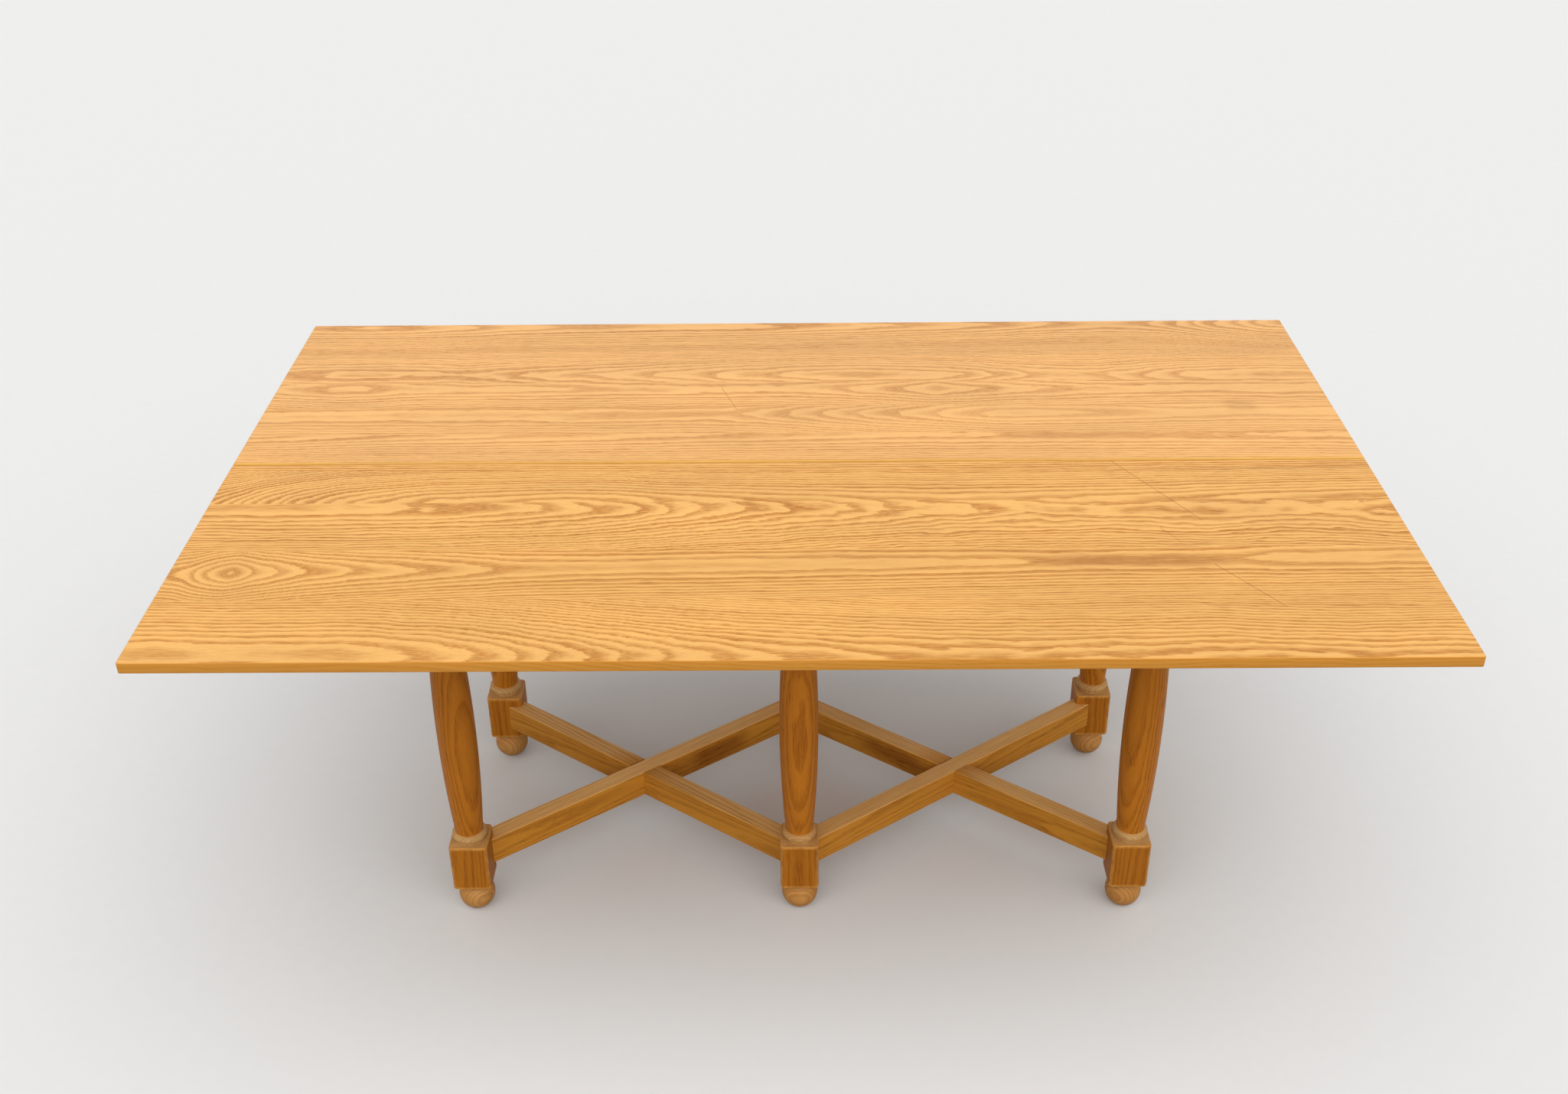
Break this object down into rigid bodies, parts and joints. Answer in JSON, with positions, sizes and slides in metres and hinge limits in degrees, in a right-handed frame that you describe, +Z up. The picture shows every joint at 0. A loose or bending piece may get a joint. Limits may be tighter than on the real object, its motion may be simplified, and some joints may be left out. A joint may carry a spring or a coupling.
{
  "type": "flip-top hall table",
  "caption": "Oak hall table on turned legs with crossed stretchers; its hinged leaf folds over onto the other and the doubled top slides to the middle of the base.",
  "frame": {"origin": "on the floor under the middle of the fold, which is the middle of the base and of the opened top", "axes": "+X along the table to its right end, +Y to its back, +Z up"},
  "size_m": [1.829, 1.118, 0.749],
  "materials": {
    "top_oak": "satin lacquer",
    "leg_oak": "stained, satin lacquer",
    "frame_oak": "stained, satin lacquer",
    "slide_oak": "bare, waxed",
    "dowel_wood": "bare",
    "felt": "pressed felt",
    "hinge_steel": "plated",
    "screw_steel": "zinc plated"
  },
  "bodies": {
    "base": {"apron_end_left": "frame_oak", "apron_end_right": "frame_oak", "apron_front_left": "frame_oak", "apron_front_right": "frame_oak", "apron_rear_left": "frame_oak", "apron_rear_right": "frame_oak", "cross_rail_middle": "frame_oak", "dowel_stretcher_left_over_end": "dowel_wood", "dowel_stretcher_left_over_start": "dowel_wood", "dowel_stretcher_left_under_end": "dowel_wood", "dowel_stretcher_left_under_start": "dowel_wood", "dowel_stretcher_right_over_end": "dowel_wood", "dowel_stretcher_right_over_start": "dowel_wood", "dowel_stretcher_right_under_end": "dowel_wood", "dowel_stretcher_right_under_start": "dowel_wood", "felt_strip_front": "felt", "felt_strip_rear": "felt", "guide_rail_left_inner": "slide_oak", "guide_rail_left_outer": "slide_oak", "guide_rail_right_inner": "slide_oak", "guide_rail_right_outer": "slide_oak", "leg_front_left": "leg_oak", "leg_front_middle": "leg_oak", "leg_front_right": "leg_oak", "leg_rear_left": "leg_oak", "leg_rear_middle": "leg_oak", "leg_rear_right": "leg_oak", "stretcher_left_over": "leg_oak", "stretcher_left_under": "leg_oak", "stretcher_right_over": "leg_oak", "stretcher_right_under": "leg_oak"},
    "top_carriage": {"batten_screw_left_front": "screw_steel", "batten_screw_left_rear": "screw_steel", "batten_screw_right_front": "screw_steel", "batten_screw_right_rear": "screw_steel", "front_leaf": "top_oak", "hinge_barrel_front_1": "hinge_steel", "hinge_barrel_front_2": "hinge_steel", "hinge_barrel_front_3": "hinge_steel", "hinge_barrel_front_4": "hinge_steel", "slide_batten_left": "slide_oak", "slide_batten_right": "slide_oak"},
    "folding_leaf": {"hinge_barrel_rear_1": "hinge_steel", "hinge_barrel_rear_2": "hinge_steel", "hinge_barrel_rear_3": "hinge_steel", "hinge_barrel_rear_4": "hinge_steel", "rear_leaf": "top_oak"},
    "front_links": {"hinge_link_front_1": "hinge_steel", "hinge_link_front_2": "hinge_steel", "hinge_link_front_3": "hinge_steel", "hinge_link_front_4": "hinge_steel"},
    "rear_links": {"hinge_link_rear_1": "hinge_steel", "hinge_link_rear_2": "hinge_steel", "hinge_link_rear_3": "hinge_steel", "hinge_link_rear_4": "hinge_steel"}
  },
  "joints": [
    {"name": "top_slide", "type": "slide", "parent": "base", "child": "top_carriage", "axis": [0, 1, 0], "range_m": [0, 0.2795]},
    {"name": "leaf_fold", "type": "hinge", "parent": "top_carriage", "child": "folding_leaf", "pos_m": [0, 0, 0.7493], "axis": [1, 0, 0], "range_deg": [0, 180]},
    {"name": "front_link_swing", "type": "hinge", "parent": "top_carriage", "child": "front_links", "pos_m": [0, 0.0035, 0.7435], "axis": [1, 0, 0], "range_deg": [0, 180]},
    {"name": "rear_link_swing", "type": "hinge", "parent": "folding_leaf", "child": "rear_links", "pos_m": [0, -0.0035, 0.7435], "axis": [1, 0, 0], "range_deg": [-180, 0]}
  ],
  "couplings": [
    {"joint": "front_link_swing", "follows": "leaf_fold", "ratio": 1},
    {"joint": "rear_link_swing", "follows": "leaf_fold", "ratio": -1}
  ]
}
